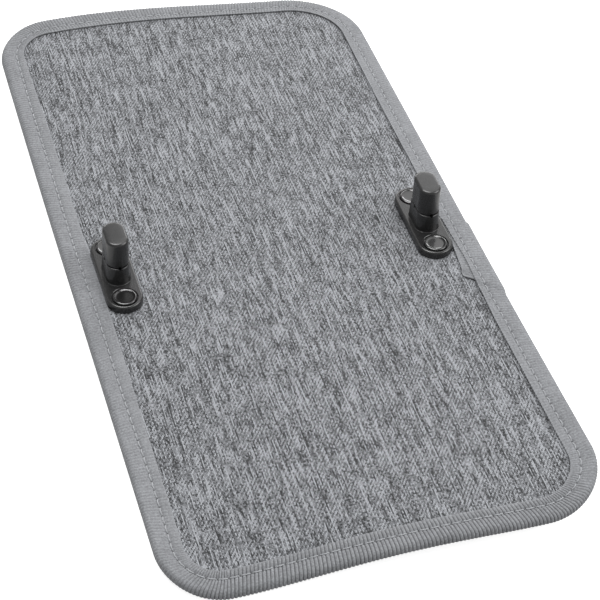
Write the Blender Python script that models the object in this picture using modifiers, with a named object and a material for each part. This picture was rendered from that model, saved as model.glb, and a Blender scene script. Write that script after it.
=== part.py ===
"""Clip-on fabric panel: a thin padded board in a bound cover, with two turn-button fasteners.

The origin is the middle of the underside. +Y is the long way, +Z is the side with the fasteners.
Every piece is one closed body; stacked sheets keep SHEET_GAP and running parts keep RUN_GAP.
"""

from math import cos, pi, sin

import bmesh
import bpy

MM = 0.001

# Driving dimensions, in millimetres.
WIDTH = 165.0
LENGTH = 325.0
CORNER_RADIUS = 26.7
THICKNESS = 4.2
TAPE = 0.6
TAPE_COVER = 11.0
FOLD_RADIUS = 1.3
SHEET_GAP = 0.1
EDGE_GAP = 0.25
RUN_GAP = 0.15
LINING = 0.3
BOARD = 1.0
FOAM = 0.6
FABRIC = 0.5

STITCH_INSET = 6.4
GROOVE_WIDTH = 0.7
GROOVE_DEPTH = 0.4
THREAD_RADIUS = 0.13

LAP_NEAR_Y = -43.0
LAP_FAR_Y = -7.0
LAP_RISE = 0.5
LAP_SINK = 0.3
TAIL_NEAR_Y = -40.0
TAIL_FAR_Y = -25.5
TAIL_INSET = 2.0
TAIL_OVERLAP = 1.0

FASTENER_X = 64.0
FASTENER_Y = -3.6
PLATE_LENGTH = 42.2
PLATE_WIDTH = 14.6
PLATE_HEIGHT = 3.1
PLATE_EDGE = 0.7
BOSS_FOOT = (17.6, 10.8)
BOSS_TOP = (15.0, 9.4)
BOSS_HEIGHT = 11.2
BOSS_SINK = 1.0
BOSS_FOOT_RISE = 0.2
BOSS_WAIST_RISE = 1.8
BOSS_UPRIGHT = 3.0
KNOB_SIZE = (14.5, 9.0)
KNOB_HEIGHT = 11.85
KNOB_EDGE = 0.6
SEAM_GAP = 0.25
DETENT_WIDTH = 1.3
DETENT_BAR = 30.0
RIVET_SPACING = 29.6

CAVITY_RADIUS = 3.5
ROOF = 2.2
SHANK_RADIUS = 1.5
SHANK_INTO_KNOB = 7.2
SHANK_TIP = 0.5
ROOF_HOLE_GAP = 0.25
HEAD_RADIUS = 2.8
HEAD_HEIGHT = 1.4
HEAD_LIFT = 0.6
HEAD_EDGE = 0.4
SLOT_WIDTH = 0.8
SLOT_DEPTH = 0.63
WASHER_RADIUS = 3.2
WASHER = 0.5
SPRING_RADIUS = 2.4
WIRE_RADIUS = 0.3
SPRING_TURNS = 5.0

RIVET_HEAD_RADIUS = 4.65
RIVET_SHANK_RADIUS = 2.1
RIVET_HOLE_RADIUS = 2.4
COUNTERSINK_RADIUS = 5.1
COUNTERSINK_DEPTH = 1.2
COUNTERSINK_WALL = 0.36
BURR_RADIUS = 5.0
BURR = 0.45
BURR_MOUTH = 1.6
BURR_THROAT = 0.35

# The dished head: (share of the head's radius, height above the plate's top), from its middle outwards.
RIVET_HEAD = ((0.0, -0.55), (0.45, -0.45), (0.75, -0.15), (0.93, 0.22), (1.0, 0.1), (1.0, -0.2))
RIVET_NECK = ((0.4, -0.85), (0.0, -1.05))
RIVET_FLARE = 1.1
RIVET_FLARE_LIP = (0.75, 0.05)
RIVET_WALL = 0.7
RIVET_CUP = (0.2, 1.2)

# A rounded edge is two chamfers: the middle outline stands in by this share of the radius.
RIM_SHARE = 0.3
# How far a cutter runs past the face that it cuts.
CUT_PAST = 1.0

CORNER_STEPS = 8
OVAL_STEPS = 6
FOLD_STEPS = 3
ROUND_STEPS = 24
COIL_STEPS = 10

# Heights of the stack, measured up from the underside.
LINING_Z = TAPE + SHEET_GAP
BOARD_Z = LINING_Z + LINING + SHEET_GAP
FOAM_Z = BOARD_Z + BOARD + SHEET_GAP
FABRIC_Z = FOAM_Z + FOAM + SHEET_GAP
FACE_Z = FABRIC_Z + FABRIC
PLATE_Z = FACE_Z + SHEET_GAP
PLATE_TOP_Z = PLATE_Z + PLATE_HEIGHT
BOSS_TOP_Z = PLATE_Z + BOSS_HEIGHT
KNOB_Z = BOSS_TOP_Z + SEAM_GAP
KNOB_TOP_Z = KNOB_Z + KNOB_HEIGHT
CAVITY_TOP_Z = BOSS_TOP_Z - ROOF
HEAD_Z = PLATE_Z + HEAD_LIFT
WASHER_Z = HEAD_Z + HEAD_HEIGHT + RUN_GAP
RIVET_YS = {"near": FASTENER_Y - RIVET_SPACING / 2, "far": FASTENER_Y + RIVET_SPACING / 2}
SIDES = {"left": -1, "right": 1}

FABRIC_GREY = (0.27, 0.28, 0.29)
TAPE_GREY = (0.33, 0.33, 0.35)
THREAD_GREY = (0.4, 0.4, 0.42)
FOAM_GREY = (0.35, 0.35, 0.36)
LINING_GREY = (0.09, 0.09, 0.095)
BOARD_BLACK = (0.05, 0.05, 0.05)
BLACK_PLASTIC = (0.025, 0.025, 0.027)
RIVET_BLACK = (0.02, 0.02, 0.02)
ZINC = (0.6, 0.6, 0.62)


def clear_scene():
    for obj in list(bpy.data.objects):
        bpy.data.objects.remove(obj, do_unlink=True)


def make_collection(name):
    collection = bpy.data.collections.new(name)
    bpy.context.scene.collection.children.link(collection)
    return collection


def make_material(name, colour, roughness, metallic=0.0):
    material = bpy.data.materials.new(name)
    material.use_nodes = True
    shader = material.node_tree.nodes["Principled BSDF"]
    shader.inputs["Base Color"].default_value = (*colour, 1.0)
    shader.inputs["Roughness"].default_value = roughness
    shader.inputs["Metallic"].default_value = metallic
    material.diffuse_color = (*colour, 1.0)
    return material


def add_object(name, data, collection, material=None):
    obj = bpy.data.objects.new(name, data)
    collection.objects.link(obj)
    if material:
        data.materials.append(material)
    return obj


def as_cutter(obj):
    """Mark a helper solid so that it is drawn as a wire and left out of the part."""
    obj.hide_render = True
    obj.display_type = "WIRE"
    return obj


def rounded_outline(width, length, radius, steps):
    """Corner points of a rounded rectangle about the origin, anticlockwise, in millimetres."""
    points = []
    for quarter, (side_x, side_y) in enumerate(((1, 1), (-1, 1), (-1, -1), (1, -1))):
        centre_x = side_x * (width / 2 - radius)
        centre_y = side_y * (length / 2 - radius)
        for step in range(steps + 1):
            angle = (quarter + step / steps) * pi / 2
            points.append((centre_x + radius * cos(angle), centre_y + radius * sin(angle)))
    return points


def inset_outline(inset):
    """The panel's outline, moved in from its edge all round."""
    return rounded_outline(WIDTH - 2 * inset, LENGTH - 2 * inset, CORNER_RADIUS - inset, CORNER_STEPS)


def circle_outline(x, y, radius):
    angles = [2 * pi * step / ROUND_STEPS for step in range(ROUND_STEPS)]
    return [(x + radius * cos(angle), y + radius * sin(angle)) for angle in angles]


def curve_data(name, loops, dimensions):
    data = bpy.data.curves.new(name, "CURVE")
    data.dimensions = dimensions
    for points, closed in loops:
        spline = data.splines.new("POLY")
        spline.points.add(len(points) - 1)
        for target, point in zip(spline.points, points):
            target.co = (*(value * MM for value in point), 1.0)
        spline.use_cyclic_u = closed
    return data


def curve_to_mesh(curve, collection, material):
    """Swap a curve object for a welded mesh object of the same name and place."""
    bpy.context.view_layer.update()
    graph = bpy.context.evaluated_depsgraph_get()
    mesh = bpy.data.meshes.new_from_object(curve.evaluated_get(graph))
    name = curve.name
    matrix = curve.matrix_world.copy()
    data = curve.data
    bpy.data.objects.remove(curve, do_unlink=True)
    bpy.data.curves.remove(data)
    welded = bmesh.new()
    welded.from_mesh(mesh)
    bmesh.ops.remove_doubles(welded, verts=welded.verts, dist=0.001 * MM)
    bmesh.ops.recalc_face_normals(welded, faces=welded.faces)
    welded.to_mesh(mesh)
    welded.free()
    mesh.materials.clear()
    obj = add_object(name, mesh, collection, material)
    obj.matrix_world = matrix
    return obj


def flat_plate(name, outlines, low, high, collection, material=None):
    """A flat sheet between two heights: its outline and then any holes in it."""
    data = curve_data(name, [([(x, y, 0.0) for x, y in outline], True) for outline in outlines], "2D")
    data.fill_mode = "BOTH"
    data.extrude = (high - low) / 2 * MM
    curve = add_object(name, data, collection)
    curve.location.z = (low + high) / 2 * MM
    return curve_to_mesh(curve, collection, material)


def wire(name, points, radius, closed, collection, material):
    data = curve_data(name, [(points, closed)], "3D")
    data.bevel_depth = radius * MM
    data.bevel_resolution = 2
    data.use_fill_caps = not closed
    return add_object(name, data, collection, material)


def oval(length, width):
    """A round-ended outline with its length along Y."""
    return rounded_outline(width, length, width / 2, OVAL_STEPS)


def rounded_rim(length, width, top, edge):
    """The last three outlines of an oval body, which round its top edge."""
    part_way = RIM_SHARE * edge
    return [
        (oval(length, width), top - edge),
        (oval(length - 2 * part_way, width - 2 * part_way), top - part_way),
        (oval(length - 2 * edge, width - 2 * edge), top),
    ]


def lofted(name, sections, collection, material=None):
    """A closed body through level outlines of equal point counts, from the bottom up."""
    mesh = bpy.data.meshes.new(name)
    body = bmesh.new()
    rings = []
    for outline, height in sections:
        rings.append([body.verts.new((x * MM, y * MM, height * MM)) for x, y in outline])
    for lower, upper in zip(rings, rings[1:]):
        for index in range(len(lower)):
            after = (index + 1) % len(lower)
            body.faces.new((lower[index], lower[after], upper[after], upper[index]))
    body.faces.new(list(reversed(rings[0])))
    body.faces.new(rings[-1])
    bmesh.ops.remove_doubles(body, verts=body.verts, dist=0.001 * MM)
    body.to_mesh(mesh)
    body.free()
    return add_object(name, mesh, collection, material)


def turned(name, profile, closed, collection, material=None):
    """A solid of revolution. The profile is (radius, height) and runs down its outer side."""
    mesh = bpy.data.meshes.new(name)
    vertices = [(radius * MM, 0.0, height * MM) for radius, height in profile]
    edges = [(index, index + 1) for index in range(len(vertices) - 1)]
    if closed:
        edges.append((len(vertices) - 1, 0))
    mesh.from_pydata(vertices, edges, [])
    obj = add_object(name, mesh, collection, material)
    screw = obj.modifiers.new("turn", "SCREW")
    screw.steps = ROUND_STEPS
    screw.render_steps = ROUND_STEPS
    screw.use_merge_vertices = True
    screw.merge_threshold = 0.00001
    screw.use_smooth_shade = True
    return obj


def box(name, low, high, collection):
    mesh = bpy.data.meshes.new(name)
    body = bmesh.new()
    bmesh.ops.create_cube(body, size=1.0)
    size = [(b - a) * MM for a, b in zip(low, high)]
    centre = [(a + b) / 2 * MM for a, b in zip(low, high)]
    bmesh.ops.scale(body, vec=size, verts=body.verts)
    bmesh.ops.translate(body, vec=centre, verts=body.verts)
    body.to_mesh(mesh)
    body.free()
    return add_object(name, mesh, collection)


def boolean(obj, other, operation="DIFFERENCE"):
    modifier = obj.modifiers.new(f"{operation.lower()}_{other.name}", "BOOLEAN")
    modifier.operation = operation
    modifier.solver = "EXACT"
    modifier.object = as_cutter(other)


def smooth(obj, degrees=35):
    obj.data.shade_smooth()
    obj.data.set_sharp_from_angle(angle=degrees * pi / 180)


def rivet_places():
    return [(side * FASTENER_X, y) for side in SIDES.values() for y in RIVET_YS.values()]


def build_sheets(parts, materials):
    """The layers of the panel, each a flat sheet with a hole at every rivet."""
    holes = [circle_outline(x, y, RIVET_HOLE_RADIUS) for x, y in rivet_places()]
    outline = inset_outline(TAPE + EDGE_GAP)
    layers = (
        ("back_lining", LINING_Z, LINING, "lining"),
        ("stiffener_board", BOARD_Z, BOARD, "board"),
        ("foam_layer", FOAM_Z, FOAM, "foam"),
        ("face_fabric", FABRIC_Z, FABRIC, "fabric"),
    )
    for name, low, thickness, slot in layers:
        flat_plate(name, [outline, *holes], low, low + thickness, parts, materials[slot])


def fold_sections():
    """Level outlines of the folded edge: rounded below, upright, and rounded above."""
    sections = []
    for step in range(FOLD_STEPS + 1):
        angle = step / FOLD_STEPS * pi / 2
        sections.append((FOLD_RADIUS * (1 - sin(angle)), FOLD_RADIUS * (1 - cos(angle))))
    upper = [(inset, THICKNESS - height) for inset, height in reversed(sections)]
    return [(inset_outline(inset), height) for inset, height in sections + upper]


def build_binding(parts, cutters, materials):
    """Tape folded round the edge: hollow for the sheets, grooved for the seam, lapped at its ends."""
    inner = inset_outline(TAPE_COVER)
    ring = lofted("edge_binding", fold_sections(), parts, materials["tape"])
    inner_x = WIDTH / 2 - TAPE_COVER
    outer_x = WIDTH / 2 - FOLD_RADIUS
    lap_z = THICKNESS + LAP_RISE
    lap = box("lap", (inner_x, LAP_NEAR_Y, THICKNESS - LAP_SINK), (outer_x, LAP_FAR_Y, lap_z), cutters)
    window = flat_plate("window", [inner], -CUT_PAST, lap_z + CUT_PAST, cutters)
    fold = flat_plate("fold", [inset_outline(TAPE)], TAPE, THICKNESS - TAPE, cutters)
    tail_low = (inner_x - TAIL_INSET, TAIL_NEAR_Y, THICKNESS - TAPE)
    tail_high = (inner_x + TAIL_OVERLAP, TAIL_FAR_Y, THICKNESS)
    tail = box("tail", tail_low, tail_high, cutters)
    groove_edges = [
        inset_outline(STITCH_INSET - GROOVE_WIDTH / 2),
        inset_outline(STITCH_INSET + GROOVE_WIDTH / 2),
    ]
    top_groove = flat_plate("top_groove", groove_edges, THICKNESS - GROOVE_DEPTH, lap_z + CUT_PAST, cutters)
    low_groove = flat_plate("low_groove", groove_edges, -CUT_PAST, GROOVE_DEPTH, cutters)
    boolean(ring, lap, "UNION")
    boolean(ring, window)
    boolean(ring, fold)
    boolean(ring, tail, "UNION")
    boolean(ring, top_groove)
    boolean(ring, low_groove)
    seam = inset_outline(STITCH_INSET)
    for name, height in (
        ("needle_thread", THICKNESS - GROOVE_DEPTH / 2),
        ("bobbin_thread", GROOVE_DEPTH / 2),
    ):
        wire(name, [(x, y, height) for x, y in seam], THREAD_RADIUS, True, parts, materials["thread"])


def detent_cutter(name, height, along_x, cutters):
    """A square bar on its edge, which leaves a V groove in the face that it lies across."""
    half = DETENT_WIDTH / 2 ** 0.5 / 2
    bar = box(name, (-half, -DETENT_BAR / 2, -half), (half, DETENT_BAR / 2, half), cutters)
    bar.rotation_euler = (0, pi / 4, pi / 2 if along_x else 0)
    bar.location.z = height * MM
    return bar


def build_base_plate(side_name, frame, parts, cutters, materials):
    """The fastener's moulded plate: riveted ends, hollow boss, detent grooves across its top."""
    plate = lofted(f"{side_name}_base_plate", [
        (oval(PLATE_LENGTH, PLATE_WIDTH), PLATE_Z),
        *rounded_rim(PLATE_LENGTH, PLATE_WIDTH, PLATE_TOP_Z, PLATE_EDGE),
    ], parts, materials["plastic"])
    foot_length, foot_width = BOSS_FOOT
    top_length, top_width = BOSS_TOP
    waist_length = (foot_length + top_length) / 2
    waist_width = (foot_width + top_width) / 2
    boss = lofted(f"{side_name}_boss", [
        (oval(foot_length, foot_width), PLATE_TOP_Z - BOSS_SINK),
        (oval(foot_length, foot_width), PLATE_TOP_Z + BOSS_FOOT_RISE),
        (oval(waist_length, waist_width), PLATE_TOP_Z + BOSS_WAIST_RISE),
        (oval(top_length, top_width), BOSS_TOP_Z - BOSS_UPRIGHT),
        (oval(top_length, top_width), BOSS_TOP_Z),
    ], cutters)
    roof_hole = SHANK_RADIUS + ROOF_HOLE_GAP
    cavity = turned(f"{side_name}_cavity", [
        (0, BOSS_TOP_Z + CUT_PAST),
        (roof_hole, BOSS_TOP_Z + CUT_PAST),
        (roof_hole, CAVITY_TOP_Z),
        (CAVITY_RADIUS, CAVITY_TOP_Z),
        (CAVITY_RADIUS, PLATE_Z - CUT_PAST),
        (0, PLATE_Z - CUT_PAST),
    ], False, cutters)
    boolean(plate, boss, "UNION")
    boolean(plate, cavity)
    for helper in (plate, boss, cavity):
        helper.parent = frame
    for place, y in RIVET_YS.items():
        sink = turned(f"{side_name}_{place}_countersink", [
            (0, PLATE_TOP_Z + CUT_PAST),
            (COUNTERSINK_RADIUS, PLATE_TOP_Z + CUT_PAST),
            (COUNTERSINK_RADIUS, PLATE_TOP_Z - COUNTERSINK_WALL),
            (RIVET_HOLE_RADIUS, PLATE_TOP_Z - COUNTERSINK_DEPTH),
            (RIVET_HOLE_RADIUS, PLATE_Z - CUT_PAST),
            (0, PLATE_Z - CUT_PAST),
        ], False, cutters)
        sink.parent = frame
        sink.location.y = (y - FASTENER_Y) * MM
        boolean(plate, sink)
    for along_x in (False, True):
        bar = detent_cutter(f"{side_name}_boss_detent_{int(along_x)}", BOSS_TOP_Z, along_x, cutters)
        bar.parent = frame
        boolean(plate, bar)
    smooth(plate)


def build_knob(side_name, frame, parts, cutters, materials):
    """The oval button, hollow for the screw, with the same V grooves in its underside."""
    length, width = KNOB_SIZE
    knob = lofted(f"{side_name}_knob", [
        (oval(length, width), KNOB_Z),
        *rounded_rim(length, width, KNOB_TOP_Z, KNOB_EDGE),
    ], parts, materials["plastic"])
    knob.parent = frame
    bore_radius = SHANK_RADIUS + RUN_GAP
    bore_top = KNOB_Z + SHANK_INTO_KNOB + RUN_GAP
    bore = turned(f"{side_name}_knob_bore", [
        (0, bore_top),
        (bore_radius, bore_top),
        (bore_radius, KNOB_Z - CUT_PAST),
        (0, KNOB_Z - CUT_PAST),
    ], False, cutters)
    bore.parent = frame
    boolean(knob, bore)
    for along_x in (False, True):
        bar = detent_cutter(f"{side_name}_knob_detent_{int(along_x)}", KNOB_Z, along_x, cutters)
        bar.parent = frame
        boolean(knob, bar)
    smooth(knob)


def build_spindle(side_name, frame, parts, cutters, materials):
    """The screw up into the knob, and the washer and spring that pull the knob down."""
    tip = KNOB_Z + SHANK_INTO_KNOB
    screw = turned(f"{side_name}_spindle_screw", [
        (0, tip),
        (SHANK_RADIUS - SHANK_TIP, tip),
        (SHANK_RADIUS, tip - SHANK_TIP),
        (SHANK_RADIUS, HEAD_Z + HEAD_HEIGHT),
        (HEAD_RADIUS, HEAD_Z + HEAD_HEIGHT),
        (HEAD_RADIUS, HEAD_Z + HEAD_EDGE),
        (HEAD_RADIUS - HEAD_EDGE, HEAD_Z),
        (0, HEAD_Z),
    ], False, parts, materials["steel"])
    slot_low = (-HEAD_RADIUS - CUT_PAST, -SLOT_WIDTH / 2, HEAD_Z - CUT_PAST)
    slot_high = (HEAD_RADIUS + CUT_PAST, SLOT_WIDTH / 2, HEAD_Z + SLOT_DEPTH)
    slot = box(f"{side_name}_screw_slot", slot_low, slot_high, cutters)
    boolean(screw, slot)
    washer = turned(f"{side_name}_spring_washer", [
        (WASHER_RADIUS, WASHER_Z + WASHER),
        (WASHER_RADIUS, WASHER_Z),
        (SHANK_RADIUS + RUN_GAP, WASHER_Z),
        (SHANK_RADIUS + RUN_GAP, WASHER_Z + WASHER),
    ], True, parts, materials["steel"])
    low = WASHER_Z + WASHER + RUN_GAP + WIRE_RADIUS
    high = CAVITY_TOP_Z - RUN_GAP - WIRE_RADIUS
    steps = int(SPRING_TURNS * COIL_STEPS)
    coil = []
    for step in range(steps + 1):
        share = step / steps
        angle = share * SPRING_TURNS * 2 * pi
        height = low + (high - low) * share
        coil.append((SPRING_RADIUS * cos(angle), SPRING_RADIUS * sin(angle), height))
    spring = wire(f"{side_name}_spring", coil, WIRE_RADIUS, False, parts, materials["steel"])
    for piece in (screw, slot, washer, spring):
        piece.parent = frame


def build_rivets(side_name, frame, parts, materials):
    """Dished rivets through the plate and the sheets, flared into a washer at the back."""
    burr_top = LINING_Z - SHEET_GAP
    burr_low = burr_top - BURR
    shank = RIVET_SHANK_RADIUS
    lip_radius, lip_drop = RIVET_FLARE_LIP
    cup_low, cup_top = RIVET_CUP
    profile = [(RIVET_HEAD_RADIUS * share, PLATE_TOP_Z + height) for share, height in RIVET_HEAD]
    profile += [(shank + wider, PLATE_TOP_Z + height) for wider, height in RIVET_NECK]
    profile += [
        (shank, burr_top),
        (shank + RIVET_FLARE, burr_low),
        (shank + lip_radius, burr_low - lip_drop),
        (shank - RIVET_WALL, burr_top + cup_low),
        (shank - RIVET_WALL, burr_top + cup_top),
        (0, burr_top + cup_top),
    ]
    for place, y in RIVET_YS.items():
        rivet = turned(f"{side_name}_{place}_rivet", profile, False, parts, materials["rivet"])
        burr = turned(f"{side_name}_{place}_burr_washer", [
            (BURR_RADIUS, burr_top),
            (BURR_RADIUS, burr_low),
            (shank + BURR_MOUTH, burr_low),
            (shank + BURR_THROAT, burr_top),
        ], True, parts, materials["steel"])
        for piece in (rivet, burr):
            piece.parent = frame
            piece.location.y = (y - FASTENER_Y) * MM


def main():
    clear_scene()
    parts = make_collection("clip_on_fabric_panel")
    cutters = make_collection("cutters")
    materials = {
        "fabric": make_material("heathered_grey_fabric", FABRIC_GREY, 0.95),
        "foam": make_material("grey_foam", FOAM_GREY, 0.9),
        "board": make_material("board", BOARD_BLACK, 0.6),
        "lining": make_material("lining", LINING_GREY, 0.95),
        "tape": make_material("grosgrain_tape", TAPE_GREY, 0.85),
        "thread": make_material("sewing_thread", THREAD_GREY, 0.7),
        "plastic": make_material("black_plastic", BLACK_PLASTIC, 0.38),
        "rivet": make_material("black_rivet", RIVET_BLACK, 0.18, 0.6),
        "steel": make_material("zinc_steel", ZINC, 0.35, 1.0),
    }
    build_sheets(parts, materials)
    build_binding(parts, cutters, materials)
    for side_name, side in SIDES.items():
        frame = bpy.data.objects.new(f"{side_name}_fastener_axis", None)
        frame.location = (side * FASTENER_X * MM, FASTENER_Y * MM, 0)
        parts.objects.link(frame)
        build_base_plate(side_name, frame, parts, cutters, materials)
        build_knob(side_name, frame, parts, cutters, materials)
        build_spindle(side_name, frame, parts, cutters, materials)
        build_rivets(side_name, frame, parts, materials)


main()
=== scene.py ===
"""Looks of the fabric pad with turn-button fasteners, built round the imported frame.

Geometry is worked out in millimetres, in the frame's own axes, and turned into metres as each mesh
is made. The soft pieces are first laid out flat and then bent by warp(), which leaves the band that
carries the fasteners flat.
"""

from math import cos, pi, sin

import bpy
import numpy as np
from mathutils import Matrix, Vector


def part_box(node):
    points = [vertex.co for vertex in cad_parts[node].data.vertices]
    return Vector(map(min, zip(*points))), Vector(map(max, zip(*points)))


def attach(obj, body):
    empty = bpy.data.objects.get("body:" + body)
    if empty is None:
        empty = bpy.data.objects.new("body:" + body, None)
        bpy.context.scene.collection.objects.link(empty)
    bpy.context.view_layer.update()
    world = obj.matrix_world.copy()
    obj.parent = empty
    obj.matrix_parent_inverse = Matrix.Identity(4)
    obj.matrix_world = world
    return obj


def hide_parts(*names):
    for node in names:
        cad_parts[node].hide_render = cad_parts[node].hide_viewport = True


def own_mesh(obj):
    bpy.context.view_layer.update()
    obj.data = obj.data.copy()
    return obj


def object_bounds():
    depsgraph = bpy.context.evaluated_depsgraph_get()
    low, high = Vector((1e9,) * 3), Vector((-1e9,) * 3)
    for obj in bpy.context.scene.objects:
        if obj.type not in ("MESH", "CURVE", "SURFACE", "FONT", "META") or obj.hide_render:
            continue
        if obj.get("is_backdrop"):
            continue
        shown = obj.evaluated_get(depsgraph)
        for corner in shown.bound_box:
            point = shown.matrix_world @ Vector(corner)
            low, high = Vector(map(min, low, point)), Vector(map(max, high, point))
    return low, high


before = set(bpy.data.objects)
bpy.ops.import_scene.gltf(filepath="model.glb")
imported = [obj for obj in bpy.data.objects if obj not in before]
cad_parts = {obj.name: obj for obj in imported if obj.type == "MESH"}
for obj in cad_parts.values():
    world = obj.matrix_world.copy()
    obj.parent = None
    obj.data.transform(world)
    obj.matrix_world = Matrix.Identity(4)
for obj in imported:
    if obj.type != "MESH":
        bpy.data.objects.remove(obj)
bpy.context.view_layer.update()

MM = 0.001
SEED = 7


def cad_box(node):
    """Lowest and highest corner of a CAD node, in millimetres."""
    low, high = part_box(node)
    return np.array(low) / MM, np.array(high) / MM


# The panel.
HALF_X, HALF_Y, _ = cad_box("edge_binding")[1]
# Corner radii as sewn, by (side, end): side is 1 on the right, end is 1 at the far end.
CORNERS = {(1, -1): 27.0, (-1, -1): 22.5, (-1, 1): 23.0, (1, 1): 31.0}
THICKNESS = 4.2
FACE_Z = cad_box("face_fabric")[1][2]
SHEET_EDGE = HALF_X - cad_box("face_fabric")[1][0]
# The cloth rises by FULLNESS over FULL_OVER from the tape, and is a little uneven.
FULLNESS = 0.3
FULL_OVER = 9.0
UNEVENNESS = 0.05
FOAM_BELOW_FACE = 0.6

# How the soft panel has bent, in millimetres: each end's height in rising powers of the distance
# across it, from -1 at the left edge to 1 at the right edge.
NEAR_BEND = (1.2, 3.7, -12.8, -1.2, 12.8)
FAR_BEND = (5.1, -7.4, -2.8, 4.4)
BEND_POWER = 1.3
FLAT_BAND = 0.16
END_BOW = 1.0
BOW_POWER = 4

# The tape.
COVER = 10.2
TAPE = 0.5
RIB_PITCH = 1.4
RIB_STEPS = 6
RIB_DEPTH = 0.38
RIB_ROUNDNESS = 0.6
RIB_LEAN = 0.25
# How deep the ribs are cut, and how much painted shade darkens their gaps, at the far end and along
# the sides; it is 1 at the near end.
RIB_FAR = 0.76
RIB_SIDE = 0.45
# The tape puffs up on both sides of the seam. Its woven edge is beaded, scalloped and flatter.
PUFF_IN = 0.16
PUFF_OUT = 0.12
SELVEDGE_WIDTH = 0.45
SELVEDGE_BEAD = 0.05
SELVEDGE_SCALLOP = 0.3
SELVEDGE_FLATTENING = 0.55
# How much more of the tape lies on the face than on the back: a mean, and waves round the outline
# as (how many, cosine part, sine part).
COVER_MEAN = -0.05
COVER_WAVES = ((1, -0.5, 0.2), (2, 0.55, 0.0), (9, 0.0, 0.12))

# The seam.
SEAM_INSET = 6.5
# It wanders by these sines: (waves round the outline, size, phase).
SEAM_WANDER = ((3, 0.3, 1.0), (11, 0.15, 0.0))
SEAM_DIP = 0.28
SEAM_WIDTH = 0.7
STITCH = 4.0
HOLE_DIP = 0.35
HOLE_RADIUS = 0.48
THREAD_RADIUS = 0.25
THREAD_SWAY = 0.16

# The tape's ends, at distances along the outline: the head starts at LAP_START, on top of the tail,
# and the tail ends once round at TAIL_END. Both are cut on a slant.
LAP_START = 7.2
LAP_SLANT = 0.48
LAP_LIFT = 0.6
LAP_EASE = 3.5
LAP_REACH = 60.0
TAIL_END = 46.0
TAIL_SLANT = 0.55
SLANT_REACH = 14.0
# The tail shifts on to the face from TAIL_SHIFT_START past one round, over TAIL_SHIFT_RUN. The
# head draws back from the face at HEAD_PLACES: (place, spread, share).
TAIL_SHIFT = 3.0
TAIL_SHIFT_START = 12.0
TAIL_SHIFT_RUN = 32.0
HEAD_SHIFT = -1.2
HEAD_PLACES = ((28.0, 14.0, 1.0), (50.0, 10.0, 0.5))

# The fasteners.
SIDES = {"left": -1, "right": 1}
PLATE_LOW, PLATE_HIGH = cad_box("right_base_plate")
KNOB_LOW, KNOB_HIGH = cad_box("right_knob")
FASTENER_X = (PLATE_LOW[0] + PLATE_HIGH[0]) / 2
FASTENER_Y = (PLATE_LOW[1] + PLATE_HIGH[1]) / 2
PLATE_LENGTH = PLATE_HIGH[1] - PLATE_LOW[1]
PLATE_WIDTH = PLATE_HIGH[0] - PLATE_LOW[0]
PLATE_Z = PLATE_LOW[2]
PLATE_TOP = PLATE_Z + 3.1
BOSS_TOP = PLATE_HIGH[2]
KNOB_Z = KNOB_LOW[2]
KNOB_TOP = KNOB_HIGH[2]
RIVET_LOW, RIVET_HIGH = cad_box("right_far_rivet")
RIVET_OFFSET = (RIVET_LOW[1] + RIVET_HIGH[1]) / 2 - FASTENER_Y
RIVET_HOLE = 2.4
PLATE_ROUND = 0.85
BOSS_LENGTH = 16.4
BOSS_WIDTH = 10.0
BOSS_FLARE = 0.3
BOSS_DRAFT = 0.36
BOSS_ROUND = 0.4
SPINDLE_BORE = 1.75
SPRING_POCKET = 3.5
SPRING_POCKET_TOP = 12.5
KNOB_ROUND = 1.15
KNOB_BORE = 1.65
KNOB_BORE_DEPTH = 7.3
WASHER_HOLE = 1.65
GROOVE_DEPTH = 0.75


# -------- meshes

def build_mesh(name, points, quads, polygons=()):
    """A mesh object from points in millimetres, an array of quads and any larger polygons."""
    corners = [np.asarray(quads, dtype=np.int32).ravel()]
    corners += [np.asarray(polygon, dtype=np.int32) for polygon in polygons]
    loops = np.concatenate(corners)
    sizes = np.concatenate([np.full(len(quads), 4), [len(p) for p in polygons]]).astype(np.int32)
    starts = np.concatenate([[0], np.cumsum(sizes)[:-1]]).astype(np.int32)
    mesh = bpy.data.meshes.new(name)
    mesh.vertices.add(len(points))
    mesh.vertices.foreach_set("co", (np.asarray(points) * MM).astype(np.float32).ravel())
    mesh.loops.add(len(loops))
    mesh.loops.foreach_set("vertex_index", loops)
    mesh.polygons.add(len(sizes))
    mesh.polygons.foreach_set("loop_start", starts)
    mesh.update(calc_edges=True)
    mesh.validate()
    obj = bpy.data.objects.new(name, mesh)
    bpy.context.scene.collection.objects.link(obj)
    return obj


def volume_sign(points, quads):
    """Positive where the quads face outwards."""
    first, second, third, fourth = (points[quads][:, corner] for corner in range(4))
    return np.sum(np.cross(first, second) * third + np.cross(first, third) * fourth)


def loft(name, rows, closed=False):
    """A closed body through rows of points; each row is a closed loop. Open lofts are capped."""
    rows = np.asarray(rows, dtype=float)
    count, around = rows.shape[:2]
    index = np.arange(count * around).reshape(count, around)
    after = np.roll(index, -1, axis=0) if closed else index[1:]
    before = index if closed else index[:-1]
    loop = [before, np.roll(before, -1, axis=1), np.roll(after, -1, axis=1), after]
    quads = np.stack(loop, axis=-1).reshape(-1, 4)
    points = rows.reshape(-1, 3)
    caps = [] if closed else [index[0][::-1], index[-1]]
    centred = points - points.mean(axis=0)
    if volume_sign(centred, quads) < 0:
        quads = quads[:, ::-1]
        caps = [cap[::-1] for cap in caps]
    return build_mesh(name, points, quads, caps)


def tube(line, side, over, radius, steps):
    """Rings of points round a line; side and over are the directions across it."""
    turn = np.linspace(0, 2 * pi, steps, endpoint=False)[None, :, None]
    return line[:, None] + radius * (side[:, None] * np.cos(turn) + over[:, None] * np.sin(turn))


def add_attribute(obj, name, values):
    layer = obj.data.attributes.new(name, "FLOAT", "POINT")
    layer.data.foreach_set("value", np.asarray(values, dtype=np.float32).ravel())


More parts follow.
